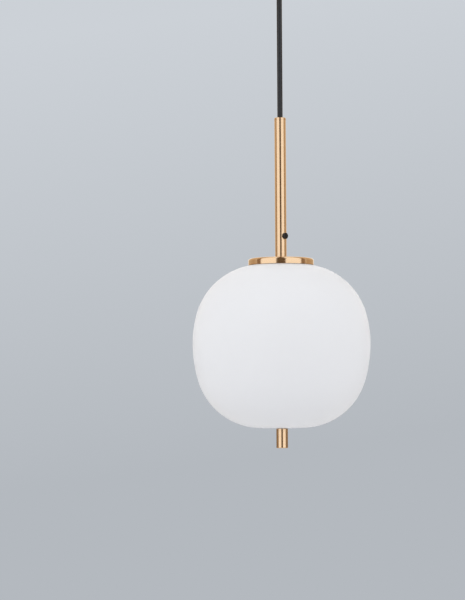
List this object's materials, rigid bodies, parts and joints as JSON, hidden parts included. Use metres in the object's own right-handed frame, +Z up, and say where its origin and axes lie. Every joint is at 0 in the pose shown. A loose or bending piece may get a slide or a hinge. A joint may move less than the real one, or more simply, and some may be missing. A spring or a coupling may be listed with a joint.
{
  "type": "pendant light",
  "caption": "Pendant light: matt opal glass globe under a low brushed-brass disc and slim stem, brass finial below, on a black cord from a round ceiling rose.",
  "frame": {"origin": "on the ceiling plane, in the middle of the bracket's two slotted screw holes, on the lamp's axis", "axes": "+Z up into the ceiling along the cord, -Y the front, +X along the line of the two ceiling screws"},
  "size_m": [0.2, 0.2, 0.563],
  "materials": {
    "brushed_brass": "fine brushed, clear lacquered",
    "plain_brass": "turned",
    "zinc_steel": "zinc plated",
    "opal_glass": "opal, matt etched outside",
    "black_sheath": "black PVC sheath",
    "brown_core": "brown PVC",
    "blue_core": "blue PVC",
    "earth_core": "green and yellow PVC",
    "white_nylon": "moulded nylon",
    "black_nylon": "moulded nylon",
    "black_resin": "moulded thermoset",
    "ceramic": "unglazed",
    "silicone": "translucent silicone",
    "nickel": "nickel plated",
    "white_plastic": "moulded",
    "opal_plastic": "opal polycarbonate",
    "board_white": "white solder mask",
    "board_green": "green solder mask",
    "led_yellow": "phosphor"
  },
  "bodies": {
    "ceiling_rose": {"ceiling_bracket": "zinc_steel", "canopy": "brushed_brass", "canopy_screws": "plain_brass", "earth_lug": "zinc_steel", "earth_screw": "zinc_steel", "terminal_block": "white_nylon", "terminal_clamps": "plain_brass", "terminal_screws": "zinc_steel", "block_fixing_screw": "zinc_steel", "gland_body": "brushed_brass", "gland_washer": "zinc_steel", "gland_nut": "plain_brass", "cord_stop": "plain_brass", "cord_stop_screws": "zinc_steel", "cord_tail": "black_sheath", "canopy_live_core": "brown_core", "canopy_neutral_core": "blue_core", "canopy_earth_core": "earth_core"},
    "cord_flex": {"cord_bend": "black_sheath"},
    "cord": {"cord_drop": "black_sheath"},
    "pendant": {"stem_cap": "brushed_brass", "stem_tube": "brushed_brass", "cord_in_stem": "black_sheath", "cap_disc": "brushed_brass", "nipple": "plain_brass", "shade_gasket": "silicone", "yoke": "zinc_steel", "lock_washer": "zinc_steel", "lock_nut": "plain_brass", "stud": "zinc_steel", "stud_nuts": "zinc_steel", "lampholder_dome": "zinc_steel", "lampholder_skirt": "black_resin", "lampholder_core": "ceramic", "screw_shell": "plain_brass", "centre_contact": "plain_brass", "holder_terminals": "zinc_steel", "dome_earth_screw": "zinc_steel", "lamp_live_core": "brown_core", "lamp_neutral_core": "blue_core", "lamp_earth_core": "earth_core"},
    "slug": {"grip_slug": "white_nylon"},
    "grip": {"grip_screw": "black_nylon"},
    "shade": {"glass_shade": "opal_glass", "glass_bush": "silicone"},
    "washer": {"finial_washer": "plain_brass"},
    "knob": {"finial": "brushed_brass"},
    "bulb_tip": {"bulb_contact": "nickel"},
    "bulb": {"bulb_insulator": "black_resin", "bulb_cap": "nickel", "bulb_collar": "white_plastic", "led_board": "board_white", "leds": "led_yellow", "driver_board": "board_green", "bulb_globe": "opal_plastic"}
  },
  "joints": [
    {"name": "swing_front_back", "type": "hinge", "parent": "ceiling_rose", "child": "cord_flex", "pos_m": [0, 0, -0.037], "axis": [1, 0, 0], "range_deg": [-20, 20]},
    {"name": "swing_side", "type": "hinge", "parent": "cord_flex", "child": "cord", "pos_m": [0, 0, -0.037], "axis": [0, 1, 0], "range_deg": [-20, 20]},
    {"name": "lamp_turn", "type": "hinge", "parent": "cord", "child": "pendant", "pos_m": [0, 0, -0.194], "axis": [0, 0, 1], "range_deg": [-180, 180]},
    {"name": "slug_travel", "type": "slide", "parent": "pendant", "child": "slug", "axis": [0.6626, -0.749, 0], "range_m": [0, 0.00105]},
    {"name": "grip_turn", "type": "hinge", "parent": "slug", "child": "grip", "pos_m": [0, 0, -0.3245], "axis": [0.6626, -0.749, 0], "range_deg": [0, 540]},
    {"name": "shade_travel", "type": "slide", "parent": "pendant", "child": "shade", "axis": [0, 0, -1], "range_m": [0, 0.205]},
    {"name": "washer_travel", "type": "slide", "parent": "shade", "child": "washer", "axis": [0, 0, -1], "range_m": [0, 0.013]},
    {"name": "finial_turn", "type": "hinge", "parent": "washer", "child": "knob", "pos_m": [0, 0, -0.55], "axis": [0, 0, -1], "range_deg": [0, 4680]},
    {"name": "bulb_travel", "type": "slide", "parent": "pendant", "child": "bulb_tip", "axis": [0, 0, -1], "range_m": [0, 0.0141]},
    {"name": "bulb_turn", "type": "hinge", "parent": "bulb_tip", "child": "bulb", "pos_m": [0, 0, -0.42], "axis": [0, 0, -1], "range_deg": [0, 1800]}
  ],
  "couplings": [
    {"joint": "grip_turn", "follows": "slug_travel", "rad_per_m": 8976},
    {"joint": "finial_turn", "follows": "washer_travel", "rad_per_m": 6283.2},
    {"joint": "bulb_turn", "follows": "bulb_travel", "rad_per_m": 2228.1}
  ]
}
